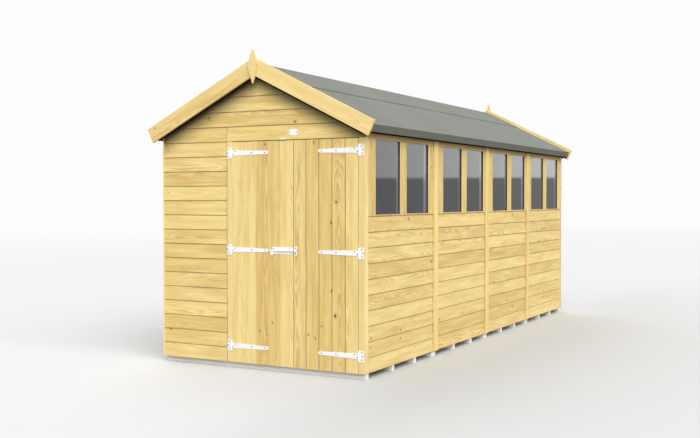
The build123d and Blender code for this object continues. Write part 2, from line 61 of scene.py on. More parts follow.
lip = 0.0042
tongue = 0.0084
board_gap = 0.0006
arris = 0.0012
stand_off = 0.0005
door_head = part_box("front_gable")[0].z
header_top = door_head + course
sill_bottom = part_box("window_uprights")[0].z
window_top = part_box("window_uprights")[1].z
pane_lap = 0.010
window_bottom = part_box("window_panes")[0].z + pane_lap
left_post_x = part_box("front_cladding")[1].x
door_face = front + 0.003
leaf_boards = 5
stile_widths = ((0.113, 0.137), (0.170, 0.080), (0.170, 0.080), (0.140, 0.110))
mullion = 0.120
pitch = math.radians(26.4)
roof_skin = 0.013
felt_thickness = 0.002
batten_width = 0.034
batten_depth = 0.044
barge_foot = 0.085
# the near-black hem below fascia and barge boards is painted shade
painted_shade_hem = 0.013
knot_names = ("knot_a", "knot_b", "knot_c")
ridge_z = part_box("left_felt")[1].z
eaves_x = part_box("right_felt")[1].x
roof_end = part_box("right_felt")[1].y
along_x = Vector((1, 0, 0))
along_y = Vector((0, 1, 0))
up_z = Vector((0, 0, 1))
body_of = {node: body for body, nodes in frame["record"]["behaviour"]["bodies"].items() for node in nodes}
slot_of = {part["node"]: part["material_slot"] for part in frame["record"]["subparts"]}


# Small helpers for node trees

def add(tree, kind, inputs=None, **settings):
    """A node with its settings; an input is a value, or a socket to link from."""
    made = tree.nodes.new(kind)
    for name, value in settings.items():
        setattr(made, name, value)
    for key, value in (inputs or {}).items():
        named = [s for s in made.inputs if s.name == key and s.enabled] if isinstance(key, str) else []
        socket = named[0] if named else made.inputs[key]
        if isinstance(value, bpy.types.NodeSocket):
            tree.links.new(value, socket)
        else:
            socket.default_value = value
    return made


def calc(tree, operation, *values, clamp=False):
    """A Math node's result."""
    return add(tree, "ShaderNodeMath", dict(enumerate(values)), operation=operation, use_clamp=clamp).outputs[0]


def fold(tree, operation, sockets):
    """One Math operation run over all the sockets in turn."""
    result = sockets[0]
    for socket in sockets[1:]:
        result = calc(tree, operation, result, socket)
    return result


def product(tree, *factors):
    return fold(tree, "MULTIPLY", factors)


def scaled(tree, value, factor, shift, clamp=False):
    """A value times a factor, plus a shift."""
    return calc(tree, "MULTIPLY_ADD", value, factor, shift, clamp=clamp)


def smooth_step(tree, value, low, high):
    """0 below low, 1 above high and smooth between them."""
    ends = {"Value": value, "From Min": low, "From Max": high}
    return add(tree, "ShaderNodeMapRange", ends, interpolation_type="SMOOTHSTEP").outputs["Result"]


def smooth_fall(tree, value, low, high):
    """1 below low, 0 above high and smooth between them."""
    return calc(tree, "SUBTRACT", 1.0, smooth_step(tree, value, low, high))


def vector_calc(tree, operation, *values):
    """A Vector Math node's outputs."""
    return add(tree, "ShaderNodeVectorMath", dict(enumerate(values)), operation=operation).outputs


def stretch(tree, vector, scale):
    """A vector with each part multiplied by its own factor."""
    return vector_calc(tree, "MULTIPLY", vector, scale)[0]


def vector_of(tree, **parts):
    return add(tree, "ShaderNodeCombineXYZ", parts).outputs[0]


def parts_of(tree, vector):
    return add(tree, "ShaderNodeSeparateXYZ", {0: vector}).outputs


def object_place(tree):
    return add(tree, "ShaderNodeTexCoord").outputs["Object"]


def mix(tree, amount, first, second, blend="MIX"):
    """A colour mixed from two; each is a socket, or red, green and blue."""
    first, second = (part if isinstance(part, bpy.types.NodeSocket) else (*part, 1) for part in (first, second))
    return add(tree, "ShaderNodeMix", {0: amount, 6: first, 7: second}, data_type="RGBA", blend_type=blend).outputs[2]


def attribute(tree, name, output):
    return add(tree, "ShaderNodeAttribute", attribute_name=name).outputs[output]


def noise(tree, vector, scale, detail=2.0, w=None):
    """A Noise Texture's outputs, in four dimensions where w is given."""
    inputs = {"Vector": vector, "Scale": scale, "Detail": detail}
    if w is None:
        return add(tree, "ShaderNodeTexNoise", inputs).outputs
    return add(tree, "ShaderNodeTexNoise", inputs | {"W": w}, noise_dimensions="4D").outputs


def group(name, kind, inputs, result_type, *results):
    """An empty node group with its input and output nodes; inputs are given as label, type and value."""
    tree = bpy.data.node_groups.new(name, kind)
    for label, socket_type, value in inputs:
        socket = tree.interface.new_socket(name=label, in_out="INPUT", socket_type=f"NodeSocket{socket_type}")
        if value is not None:
            socket.default_value = value
    for label in results:
        tree.interface.new_socket(name=label, in_out="OUTPUT", socket_type=f"NodeSocket{result_type}")
    return tree, tree.nodes.new("NodeGroupInput").outputs, tree.nodes.new("NodeGroupOutput").inputs


# Shared surface effects

def knot_group():
    """Distance from a knot, and how much it bends the rings; Knot is along, across, and a draw for its size
    from 0.5, none, to 1, the largest."""
    tree, given, out = group("knot", "ShaderNodeTree",
                             [("Grain", "Vector", None), ("Knot", "Vector", None), ("Largest", "Float", 0.009)],
                             "Float", "Core", "Halo", "Bend")
    away = vector_calc(tree, "SUBTRACT", given["Grain"], given["Knot"])[0]
    reach = vector_calc(tree, "LENGTH", stretch(tree, away, (0.75, 1.0, 0.0)))["Value"]
    ragged = noise(tree, given["Grain"], 160.0)["Fac"]
    chance = scaled(tree, parts_of(tree, given["Knot"])["Z"], 2.0, -1.0, clamp=True)
    size = calc(tree, "MAXIMUM", product(tree, chance, given["Largest"]), 0.0001)
    radii = calc(tree, "DIVIDE", reach, size)
    uneven = calc(tree, "ADD", radii, product(tree, ragged, 0.5))
    tree.links.new(smooth_fall(tree, uneven, 0.9, 1.35), out["Core"])
    tree.links.new(smooth_fall(tree, uneven, 1.2, 3.2), out["Halo"])
    falloff = calc(tree, "DIVIDE", 1.0, calc(tree, "ADD", 1.0, calc(tree, "POWER", radii, 2.0)))
    tree.links.new(product(tree, falloff, size), out["Bend"])
    return tree


def pine_group(knot):
    """Growth rings of one board, sawn from a log whose heart runs at a slant behind its face."""
    tree, given, out = group("pine_rings", "ShaderNodeTree",
                             [("Ring width", "Float", 0.0055), ("Largest knot", "Float", 0.009)],
                             "Float", "Late wood", "Streak", "Fibre", "Knot", "Halo")
    grain = attribute(tree, "grain", "Vector")
    board = attribute(tree, "board", "Fac")
    w = product(tree, board, 61.0)

    def draw(factor):
        """One more random number for the board."""
        return calc(tree, "FRACT", product(tree, board, factor))

    def board_noise(along, across, detail=2.0):
        """Noise drawn out along the grain, another on every board."""
        return noise(tree, stretch(tree, grain, (along, across, across)), 1.0, detail, w)

    knots = []
    for name in knot_names:
        made = add(tree, "ShaderNodeGroup", node_tree=knot)
        tree.links.new(grain, made.inputs["Grain"])
        tree.links.new(attribute(tree, name, "Vector"), made.inputs["Knot"])
        tree.links.new(given["Largest knot"], made.inputs["Largest"])
        knots.append(made.outputs)
    bend = fold(tree, "ADD", [knot["Bend"] for knot in knots])
    wander = parts_of(tree, board_noise(1.1, 6.0, 3.0)["Color"])
    place = parts_of(tree, grain)
    heart_y = scaled(tree, draw(17.3), 0.13, -0.035)
    heart_z = scaled(tree, draw(29.7), 0.07, 0.012)
    slant = scaled(tree, draw(7.7), 0.07, -0.035)
    across = calc(tree, "SUBTRACT", scaled(tree, wander["X"], 0.07, place["Y"]), heart_y)
    deep = calc(tree, "SUBTRACT", scaled(tree, wander["Y"], 0.06, heart_z), place["Z"])
    deep = scaled(tree, place["X"], slant, deep)
    radius = calc(tree, "SQRT", calc(tree, "ADD", calc(tree, "POWER", across, 2.0), calc(tree, "POWER", deep, 2.0)))
    rings = calc(tree, "DIVIDE", scaled(tree, bend, 1.4, radius), given["Ring width"])
    ring = calc(tree, "FRACT", rings)
    rise = smooth_step(tree, ring, 0.1, 0.85)
    fall = smooth_fall(tree, ring, 0.82, 1.0)
    figure = scaled(tree, smooth_step(tree, draw(5.1), 0.35, 0.85), 0.65, 0.35)
    figure = product(tree, figure, smooth_step(tree, board_noise(4.0, 30.0)["Fac"], 0.25, 0.6))
    tree.links.new(product(tree, rise, fall, figure), out["Late wood"])
    broad = product(tree, board_noise(2.2, 20.0)["Fac"], 0.55)
    streak = scaled(tree, board_noise(3.0, 100.0, 3.0)["Fac"], 0.45, broad)
    tree.links.new(streak, out["Streak"])
    tree.links.new(board_noise(14.0, 900.0)["Fac"], out["Fibre"])
    for label, socket in (("Core", "Knot"), ("Halo", "Halo")):
        tree.links.new(fold(tree, "MAXIMUM", [knot[label] for knot in knots]), out[socket])
    return tree


def speckle_group():
    """Uneven dust and fine grit over a surface."""
    tree, given, out = group("speckle", "ShaderNodeTree",
                             [("Grit", "Float", 900.0), ("Patches", "Float", 6.0)], "Float", "Grain", "Patch")
    place = object_place(tree)
    tree.links.new(noise(tree, place, given["Grit"], 2.0)["Fac"], out["Grain"])
    tree.links.new(noise(tree, place, given["Patches"], 3.0)["Fac"], out["Patch"])
    return tree


knot_effect = knot_group()
pine_rings = pine_group(knot_effect)
speckle = speckle_group()


# Finishes

def new_material(name):
    """A material with nothing but its Principled shader and output."""
    material = bpy.data.materials.new(name)
    material.use_nodes = True
    tree = material.node_tree
    return material, tree, tree.nodes["Principled BSDF"]


def painted_overhang_shade_mask(tree, full, none):
    """How far up under the roof's overhang a wall is: the mask of the painted shade under the roof, 1 close under it
    and falling to 0 further down.
    """
    place = parts_of(tree, object_place(tree))
    drop = scaled(tree, place["Z"], -math.cos(pitch), ridge_z * math.cos(pitch))
    below = scaled(tree, calc(tree, "ABSOLUTE", place["X"]), -math.sin(pitch), drop)
    return smooth_fall(tree, below, full, none)


pale_pine = (0.885, 0.700, 0.290)
deep_pine = (0.665, 0.450, 0.135)
late_pine = (0.50, 0.30, 0.085)
knot_brown = (0.175, 0.078, 0.018)
lap_shade = (0.19, 0.115, 0.035)
# colour of the painted shade under the roof's overhang
painted_overhang_shade = (0.085, 0.065, 0.018)
shade_width = 0.009
tone_reach = 0.75


def pine(name, pale, deep, late=late_pine, ring_contrast=0.62, largest_knot=0.012, rough=0.62, lap_line=None,
         overhang=None):
    """Planed softwood; lap_line is the place across a lapped board where the next one's painted shadow starts, and
    overhang how far below the roof the painted shade under the roof starts and ends, and how strong it is."""
    material, tree, shader = new_material(name)
    rings = add(tree, "ShaderNodeGroup", node_tree=pine_rings)
    rings.inputs["Largest knot"].default_value = largest_knot
    out = rings.outputs
    tone = scaled(tree, attribute(tree, "tone", "Fac"), tone_reach, 0.42 - tone_reach / 2)
    streaks = scaled(tree, out["Streak"], 2.6, calc(tree, "ADD", tone, -1.3), clamp=True)
    colour = mix(tree, streaks, pale, deep)
    colour = mix(tree, product(tree, out["Late wood"], ring_contrast), colour, late)
    colour = mix(tree, product(tree, out["Halo"], 0.30), colour, late)
    fibre = scaled(tree, out["Fibre"], 0.16, 0.92)
    colour = mix(tree, 1.0, colour, vector_of(tree, X=fibre, Y=fibre, Z=fibre), "MULTIPLY")
    colour = mix(tree, product(tree, out["Knot"], 0.9), colour, knot_brown)
    # end grain is darker; edge values on long sides and groove walls are painted shade
    colour = mix(tree, product(tree, attribute(tree, "end", "Fac"), 0.25), colour, late)
    if lap_line is not None:
        across = parts_of(tree, attribute(tree, "grain", "Vector"))["Y"]
        shade = smooth_step(tree, across, lap_line - shade_width, lap_line)
        colour = mix(tree, product(tree, shade, 0.8), colour, lap_shade)
    # painted shade under the roof's overhang, darkest close under the roof
    if overhang:
        full, none, strength = overhang
        colour = mix(tree, product(tree, painted_overhang_shade_mask(tree, full, none), strength), colour, painted_overhang_shade)
    tree.links.new(colour, shader.inputs["Base Color"])
    shine = scaled(tree, out["Late wood"], -0.12, rough)
    tree.links.new(scaled(tree, out["Fibre"], 0.12, shine), shader.inputs["Roughness"])
    height = scaled(tree, out["Late wood"], 0.35, out["Fibre"])
    height = scaled(tree, out["Knot"], 0.8, height)
    bump = add(tree, "ShaderNodeBump", {"Strength": 0.35, "Distance": 0.0006, "Height": height})
    tree.links.new(bump.outputs[0], shader.inputs["Normal"])
    return material


def plain_surface(name, colour, darker, rough, patches, metallic=0.0, grit=900.0, bump=0.15,
                  bump_distance=0.0004, patch_amount=0.5, grain_amount=0.25, specular=0.5):
    """Paint, felt or metal: two near colours in soft patches, with fine grit in colour and relief."""
    material, tree, shader = new_material(name)
    marks = add(tree, "ShaderNodeGroup", {"Grit": grit, "Patches": patches}, node_tree=speckle).outputs
    patch = product(tree, smooth_step(tree, marks["Patch"], 0.35, 0.75), patch_amount)
    grain = product(tree, smooth_step(tree, marks["Grain"], 0.45, 0.75), grain_amount)
    tree.links.new(mix(tree, calc(tree, "ADD", patch, grain, clamp=True), colour, darker), shader.inputs["Base Color"])
    tree.links.new(scaled(tree, marks["Patch"], 0.16, rough - 0.08), shader.inputs["Roughness"])
    shader.inputs["Metallic"].default_value = metallic
    shader.inputs["Specular IOR Level"].default_value = specular
    relief = add(tree, "ShaderNodeBump", {"Strength": bump, "Distance": bump_distance, "Height": marks["Grain"]})
    tree.links.new(relief.outputs[0], shader.inputs["Normal"])
    return material


# lapped boards: a painted shadow under each lap, and painted shade under the roof's overhang
lapped_pine = pine("lapped_pine", pale_pine, deep_pine, lap_line=course / 2, overhang=(0.080, 0.245, 0.90))
door_pine = pine("door_pine", pale_pine, deep_pine)
planed_pine = pine("planed_pine", (0.91, 0.725, 0.315), (0.72, 0.50, 0.16), largest_knot=0.009, ring_contrast=0.55)
post_pine = pine("post_pine", (0.965, 0.790, 0.365), (0.80, 0.60, 0.22), largest_knot=0.006, ring_contrast=0.4)
# window timber: darker than planed pine, with painted shade under the eaves
window_pine = pine("window_pine", (0.87, 0.67, 0.265), (0.63, 0.43, 0.125), ring_contrast=0.5,
                   overhang=(0.030, 0.125, 0.75))
framing_pine = pine("framing_pine", (0.80, 0.62, 0.31), (0.62, 0.42, 0.18), (0.45, 0.26, 0.09), rough=0.7)
board_pine = pine("sheathing_pine", (0.78, 0.60, 0.31), (0.62, 0.43, 0.19), (0.46, 0.27, 0.10))
bearer_pine = pine("bearer_timber", (0.93, 0.93, 0.915), (0.88, 0.88, 0.86), (0.78, 0.78, 0.75), rough=0.8)
felt_relief = {"grit": 1400.0, "bump": 0.6, "bump_distance": 0.0008, "specular": 0.12}
felt = plain_surface("mineral_felt", (0.188, 0.197, 0.175), (0.168, 0.176, 0.158), 0.9, 2.2, grain_amount=0.55,
                     **felt_relief)
edge_felt = plain_surface("edge_felt", (0.200, 0.210, 0.178), (0.166, 0.175, 0.150), 0.9, 3.0, grain_amount=0.5,
                          **felt_relief)
# near-black felt: painted shade under the roof's overhangs and below fascia and barge boards, and the beads along the
# ridge sheet
near_black_felt = plain_surface("near_black_felt_finish", (0.006, 0.006, 0.008), (0.011, 0.011, 0.014), 0.9, 5.0,
                           **felt_relief | {"bump": 0.5, "specular": 0.03})
white_paint = plain_surface("white_paint", (0.93, 0.94, 0.96), (0.80, 0.81, 0.85), 0.36, 30.0, grit=500.0,
                            patch_amount=0.3, grain_amount=0.15)
button_finish = plain_surface("button_metal", (0.86, 0.85, 0.80), (0.68, 0.65, 0.56), 0.4, 40.0)
screw_steel = plain_surface("screw_steel", (0.060, 0.065, 0.085), (0.032, 0.034, 0.042), 0.45, 300.0, metallic=0.3)
nail_steel = plain_surface("nail_steel", (0.50, 0.42, 0.24), (0.34, 0.26, 0.13), 0.5, 400.0, metallic=0.4)
black_reveal_finish = plain_surface("black_reveal", (0.008, 0.007, 0.006), (0.016, 0.014, 0.012), 0.9, 60.0)


def glass_finish(name, tint, transmission, ior, rough=0.02, sheen_tint=None):
    """Glass, clear or dark, with the faint unevenness of a thin pane."""
    material, tree, shader = new_material(name)
    drift = noise(tree, object_place(tree), 3.0)["Fac"]
    tree.links.new(mix(tree, drift, tint, [0.9 * part for part in tint]), shader.inputs["Base Color"])
    tree.links.new(scaled(tree, drift, 0.02, rough), shader.inputs["Roughness"])
    shader.inputs["Transmission Weight"].default_value = transmission
    shader.inputs["IOR"].default_value = ior
    if sheen_tint:
        shader.inputs["Specular Tint"].default_value = (*sheen_tint, 1)
    return material


pane_glass = glass_finish("window_glass", (0.15, 0.155, 0.165), 0.9, 1.9)
edge_glass = glass_finish("ground_glass_edge", (0.012, 0.016, 0.045), 0.0, 2.2, 0.08, (0.72, 0.80, 1.0))
# painted reflection: a lighter band along the far side of every pane
painted_reflection_glass = glass_finish("painted_reflection_band", (0.15, 0.155, 0.18), 0.0, 2.2, 0.06)


# Geometry Nodes trees

def shape(tree, kind, inputs, **settings):
    """A geometry node's first result."""
    return add(tree, f"GeometryNode{kind}", inputs, **settings).outputs[0]


def end_tree(tree, geometry, given, out):
    """Make the instances one mesh, give it its finish and put it out."""
    real = shape(tree, "RealizeInstances", {"Geometry": geometry})
    done = shape(tree, "SetMaterial", {"Geometry": real, "Material": given["Finish"]})
    tree.links.new(done, out[0])
    return tree


def rows_tree():
    """Rows of one board: counts and steps, with a draw, a tone and three knots stored on every board."""
    tree, given, out = group(
        "rows_of_boards", "GeometryNodeTree",
        [("Board", "Geometry", None), ("Count", "Int", 1), ("Step", "Vector", None), ("Bays", "Int", 1),
         ("Bay step", "Vector", None), ("Seed", "Int", 0), ("Knot reach", "Vector", None),
         ("Finish", "Material", None)], "Geometry", "Boards")
    row = shape(tree, "MeshLine", {"Count": given["Count"], "Offset": given["Step"]})
    bays = shape(tree, "MeshLine", {"Count": given["Bays"], "Offset": given["Bay step"]})
    rows = shape(tree, "InstanceOnPoints", {"Points": bays, "Instance": row})
    points = shape(tree, "RealizeInstances", {"Geometry": rows})
    boards = shape(tree, "InstanceOnPoints", {"Points": points, "Instance": given["Board"]})
    most = given["Knot reach"]
    limits = {"Min": stretch(tree, most, (-1, -1, -1)), "Max": most}
    draws = [("board", 0.0, "FLOAT"), ("tone", 5.0, "FLOAT")]
    draws += [(name, float(turn), "FLOAT_VECTOR") for turn, name in enumerate(knot_names, 1)]
    for name, shift, kind in draws:
        inputs = {"Seed": calc(tree, "ADD", given["Seed"], shift)} | (limits if kind == "FLOAT_VECTOR" else {})
        made = add(tree, "FunctionNodeRandomValue", inputs, data_type=kind).outputs
        value = made[0] if kind == "FLOAT_VECTOR" else made[1]
        boards = shape(tree, "StoreNamedAttribute", {"Geometry": boards, "Name": name, "Value": value},
                       data_type=kind, domain="INSTANCE")
    return end_tree(tree, boards, given, out)


def fixings_tree(name, head):
    """Heads of screws or nails set on points, each turned its own way about where it faces."""
    tree, given, out = group(
        name, "GeometryNodeTree",
        [("Places", "Geometry", None), ("Radius", "Float", 0.004), ("Height", "Float", 0.001), ("Seed", "Int", 0),
         ("Finish", "Material", None)], "Geometry", "Heads")
    facing = add(tree, "GeometryNodeInputNamedAttribute", {"Name": "facing"},
                 data_type="FLOAT_VECTOR").outputs["Attribute"]
    aim = add(tree, "FunctionNodeAlignRotationToVector", {"Vector": facing}, axis="Z").outputs[0]
    heads = shape(tree, "InstanceOnPoints",
                  {"Points": given["Places"], "Instance": head(tree, given), "Rotation": aim})
    spin = add(tree, "FunctionNodeRandomValue", {"Max": math.tau, "Seed": given["Seed"]},
               data_type="FLOAT").outputs[1]
    turned = shape(tree, "RotateInstances", {"Instances": heads, "Rotation": vector_of(tree, Z=spin)})
    return end_tree(tree, turned, given, out)


def cone_head(tree, given, sides, top_share):
    """A low cone, seated on its base, whose top is a share of its foot's radius."""
    top = product(tree, given["Radius"], top_share)
    return shape(tree, "MeshCone", {"Vertices": sides, "Radius Top": top, "Radius Bottom": given["Radius"],
                                    "Depth": given["Height"]})


def screw_head(tree, given):
    """A raised head with a cross recess as deep as half its height."""
    narrow = product(tree, given["Radius"], 0.24)
    lift = vector_of(tree, Z=given["Height"])
    cut = add(tree, "GeometryNodeMeshBoolean", {"Mesh 1": cone_head(tree, given, 12, 0.62)}, operation="DIFFERENCE")
    for x, y in ((given["Radius"], narrow), (narrow, given["Radius"])):
        size = vector_of(tree, X=x, Y=y, Z=given["Height"])
        slot = shape(tree, "MeshCube", {"Size": size})
        slot = shape(tree, "Transform", {"Geometry": slot, "Translation": lift})
        tree.links.new(slot, cut.inputs["Mesh 2"])
    return cut.outputs[0]


def nail_head(tree, given):
    return cone_head(tree, given, 8, 0.8)


rows_of_boards = rows_tree()
screws = fixings_tree("screws", screw_head)
nails = fixings_tree("nails", nail_head)


# Making pieces

def show(name, mesh):
    piece = bpy.data.objects.new(name, mesh)
    bpy.context.scene.collection.objects.link(piece)
    return piece


def grow(name, base, tree, inputs):
    """Run a tree on a base mesh and keep its result as a plain mesh."""
    piece = show(name, base)
    modifier = piece.modifiers.new("make", "NODES")
    modifier.node_group = tree
    for item in tree.interface.items_tree:
        if item.in_out == "INPUT" and item.name in inputs:
            modifier[item.identifier] = inputs[item.name]
    bpy.context.view_layer.update()
    evaluated = piece.evaluated_get(bpy.context.evaluated_depsgraph_get())
    mesh = bpy.data.meshes.new_from_object(evaluated)
    piece.modifiers.remove(modifier)
    piece.data = mesh
    return piece


def finish_piece(piece, body, slot, *nodes):
    """Hand a finished piece to its body, and hide the nodes it stands for; slot is not used."""
    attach(piece, body)
    if nodes:
        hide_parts(*nodes)


def store(mesh, name, values, kind="FLOAT_VECTOR", domain="POINT"):
    layer = mesh.attributes.get(name) or mesh.attributes.new(name, kind, domain)
    flat = [part for value in values for part in value] if kind == "FLOAT_VECTOR" else list(values)
    layer.data.foreach_set("vector" if kind == "FLOAT_VECTOR" else "value", flat)


def mesh_of(bm, name):
    mesh = bpy.data.meshes.new(name)
    bm.to_mesh(mesh)
    bm.free()
    return mesh


def prism(outline, low, high):
    """A closed prism from outline points (vectors) swept from low to high (vectors)."""
    bm = bmesh.new()
    rings = [[bm.verts.new(point + shift) for point in outline] for shift in (low, high)]
    count = len(outline)
    bm.faces.new(rings[0])
    bm.faces.new(list(reversed(rings[1])))
    for i in range(count):
        j = (i + 1) % count
        bm.faces.new((rings[0][i], rings[0][j], rings[1][j], rings[1][i]))
    bmesh.ops.recalc_face_normals(bm, faces=bm.faces)
    return bm


def base_board(name, section, place, along, start, stop):
    """One board of a row: its section is (across, depth) points, and place turns those into a vector."""
    bm = prism([place(across, depth) for across, depth in section], along * start, along * stop)
    mesh = mesh_of(bm, name)
    middle = along * (start + stop) / 2
    face = place(0, 0)
    up = place(1, 0) - face
    inward = place(0, 1) - face
    store(mesh, "grain", [((v.co - middle).dot(along), (v.co - face).dot(up), (v.co - face).dot(inward))
                          for v in mesh.vertices])
    return mesh


def cut_mesh(mesh, planes):
    """Cut closed boards with planes given as (point, outward normal) and cap them."""
    bm = bmesh.new()
    bm.from_mesh(mesh)
    for point, normal in planes:
        geometry = bm.verts[:] + bm.edges[:] + bm.faces[:]
        made = bmesh.ops.bisect_plane(bm, geom=geometry, plane_co=point, plane_no=normal, clear_outer=True)
        edges = [e for e in made["geom_cut"] if isinstance(e, bmesh.types.BMEdge)]
        bmesh.ops.holes_fill(bm, edges=edges, sides=0)
    bm.to_mesh(mesh)
    bm.free()


def mark_ends(mesh, along, across=Vector(), edge=0.0):
    """Note which faces are sawn across the grain, and by how much edge darkens the boards' long sides as painted
    shade.
    """
    store(mesh, "end", [1.0 if abs(p.normal.dot(along)) > 0.7 else edge if abs(p.normal.dot(across)) > 0.9 else 0.0
                        for p in mesh.polygons], "FLOAT", "FACE")


def roof_point(u, v, side):
    """A point u down the slope from the ridge and v below the felt's upper face."""
    return Vector((side * (u * math.cos(pitch) - v * math.sin(pitch)), 0,
                   ridge_z - u * math.sin(pitch) - v * math.cos(pitch)))


def slope_axes(side):
    """Down one slope of the roof, and out of it."""
    return (Vector((side * math.cos(pitch), 0, -math.sin(pitch))),
            Vector((side * math.sin(pitch), 0, math.cos(pitch))))


def roof_planes():
    """The underside of the roof boards on both slopes, as cutting planes."""
    return [(roof_point(0, roof_skin, side), slope_axes(side)[1]) for side in (-1, 1)]


# Lapped boards of the walls

knot_to_end = 0.04
knot_to_edge = 0.012
close_knot_to_end = 0.03


def lapped_section():
    """A rebated board: (height above its course, depth from the wall's face)."""
    top_depth = lap_step * (1 + tongue / course)
    return [(arris, 0.0), (0.0, arris), (0.0, lip), (tongue + board_gap, lip), (tongue + board_gap, cladding),
            (course + tongue, cladding), (course + tongue, top_depth)]


def lapped_boards(name, node, place, along, start, stop, courses, seed, panels, planes, tones=(), knots=None):
    """Courses of lapped boards in one wall, cut off at the planes; knots are random ones, or those given."""
    section = [(z - course / 2, depth) for z, depth in lapped_section()]
    base = base_board(name, section, place, along, start, stop)
    reach = ((stop - start) / 2 - knot_to_end, course / 2 - knot_to_edge, 1.0 if knots is None else 0.0)
    piece = grow(name, base, rows_of_boards, {
        "Count": courses, "Step": (0, 0, course), "Bays": panels, "Bay step": (0, panel_length, 0), "Seed": seed,
        "Knot reach": reach, "Finish": lapped_pine})
    marks = [(i, "tone", tone) for i, tone in enumerate(tones)]
    foot = place(-course / 2, 0).z
    for where, height, size in knots or ():
        panel = int((where - start) / panel_length) if panels > 1 else 0
        row = int((height - foot) / course)
        middle = (start + stop) / 2 + panel * panel_length
        marks.append((panel * courses + row, "knot", (where - middle, height - foot - (row + 0.5) * course, size)))
    mark_boards(piece.data, len(base.vertices), marks)
    cut_mesh(piece.data, planes)
    mark_ends(piece.data, along)
    finish_piece(piece, body_of[node], slot_of[node], node)


def mark_boards(mesh, corners, marks):
    """Give chosen boards their own tone or up to three knots: (board, attribute, value)."""
    taken = []
    for board, name, value in marks:
        if name == "knot":
            name = knot_names[taken.count(board)]
            taken.append(board)
            value = (value[0], value[1], 0.5 + value[2] / 2)
        layer = mesh.attributes[name]
        for i in range(board * corners, (board + 1) * corners):
            if name == "tone":
                layer.data[i].value = value
            else:
                layer.data[i].vector = value


def side_place(side):
    """Where a point of a side wall's first course is, from its height and depth."""
    return lambda across, depth: Vector((side * (half_width - depth), 0, ground_clearance + course / 2 + across))


def end_place(end, base_z):
    return lambda across, depth: Vector((0, end * (half_length - depth), base_z + course / 2 + across))


panel_starts = [front + wall + panel_gap / 2 + panel * panel_length for panel in range(panel_count)]
panel_spans = [(start, start + panel_length - panel_gap) for start in panel_starts]
side_courses = math.ceil((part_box("left_cladding")[1].z - ground_clearance) / course)
sill_courses = round((sill_bottom - ground_clearance) / course)
door_courses = round((door_head - ground_clearance) / course)
gable_courses = math.ceil((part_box("front_gable")[1].z - header_top) / course)
wall_courses = door_courses + 1
header_plane = (up_z * header_top, up_z)
post_gap = 0.0045
light, mid, dark = 0.12, 0.50, 0.76
side_tones = (light, mid, mid, light, mid, light, dark, light, light, mid,
              light, dark, mid, light, light, light, dark, light, mid, light,
              light, dark, dark, light, mid, light, dark, light, light, mid,
              light, mid, mid, light, mid, light, dark, light, mid, light)

lapped_boards("left_wall_boards", "left_cladding", side_place(-1), along_y, *panel_spans[0], side_courses, 11,
              panel_count, roof_planes())
lapped_boards("right_wall_boards", "right_cladding", side_place(1), along_y, *panel_spans[0], sill_courses, 23,
              panel_count, [(up_z * sill_bottom, up_z)], side_tones,
              [(-2.308, 0.289, 0.6), (-2.308, 0.223, 0.5), (-1.816, 0.292, 0.6), (-1.815, 0.226, 0.5),
               (-1.673, 1.129, 0.8), (-1.239, 0.778, 0.9), (-1.076, 0.289, 0.6), (-0.578, 0.292, 0.6),
               (-0.440, 1.026, 0.7), (0.107, 0.290, 0.6), (0.596, 0.293, 0.6), (0.744, 0.216, 0.7),
               (0.745, 1.131, 0.8), (1.755, 0.291, 0.6), (1.756, 0.224, 0.5), (1.883, 1.031, 0.7)])
lapped_boards("front_wall_boards", "front_cladding", end_place(-1, ground_clearance), along_x, -half_width,
              left_post_x - post_gap, wall_courses, 37, 1, [header_plane, *roof_planes()],
              (0.25, 0.62, dark, 0.05, light, 0.38, dark, dark, 0.25, light, 0.35, 0.20, dark, light, 0.40, 0.70),
              [(-0.846, 1.655, 0.3), (-0.846, 1.331, 0.3), (-0.846, 1.000, 0.25), (-0.394, 1.600, 0.25),
               (-0.831, 0.262, 0.8)])
lapped_boards("header_board", "front_gable", end_place(-1, door_head), along_x, left_post_x + stand_off, half_width,
              1, 43, 1, [header_plane, *roof_planes()], (mid,), [])
lapped_boards("gable_boards", "front_gable", end_place(-1, header_top), along_x, -half_width, half_width,
              gable_courses, 41, 1, roof_planes(), (0.60, 0.60, 0.30, 0.60, 0.40),
              [(0.326, 1.848, 0.7), (-0.453, 1.903, 0.7)])
lapped_boards("back_wall_boards", "back_cladding", end_place(1, ground_clearance), along_x, -half_width,
              half_width, wall_courses + gable_courses, 53, 1, roof_planes())


# Close boards: doors, floor and roof sheathing

def close_section(width, thickness, chamfer, gap=board_gap, rear_gap=0.0004):
    """A board with its face edges chamfered and its back tongued: (across, depth) points."""
    half = (width - gap) / 2
    rear = (width - rear_gap) / 2
    slot = 0.8 * thickness
    right_side = [(half - chamfer, 0.0), (half, chamfer), (half, slot), (rear, slot), (rear, thickness)]
    return [*right_side, *((-across, depth) for across, depth in reversed(right_side))]


def close_boards(name, nodes, section, place, along, span, inputs, planes=(), marks=(), knot_chance=1.0, edge=0.0):
    base = base_board(name, section, place, along, *span)
    width = max(across for across, _ in section)
    reach = ((span[1] - span[0]) / 2 - close_knot_to_end, width * 0.8, knot_chance)
    piece = grow(name, base, rows_of_boards, {"Knot reach": reach} | inputs)
    mark_boards(piece.data, len(base.vertices), marks)
    cut_mesh(piece.data, planes)
    mark_ends(piece.data, along, place(1, 0) - place(0, 0), edge)
    finish_piece(piece, body_of[nodes[0]], slot_of[nodes[0]], *nodes)


leaf_tones = {"left": (light, light, dark, 0.74, light), "right": (0.25, 0.66, dark, 0.42, light)}
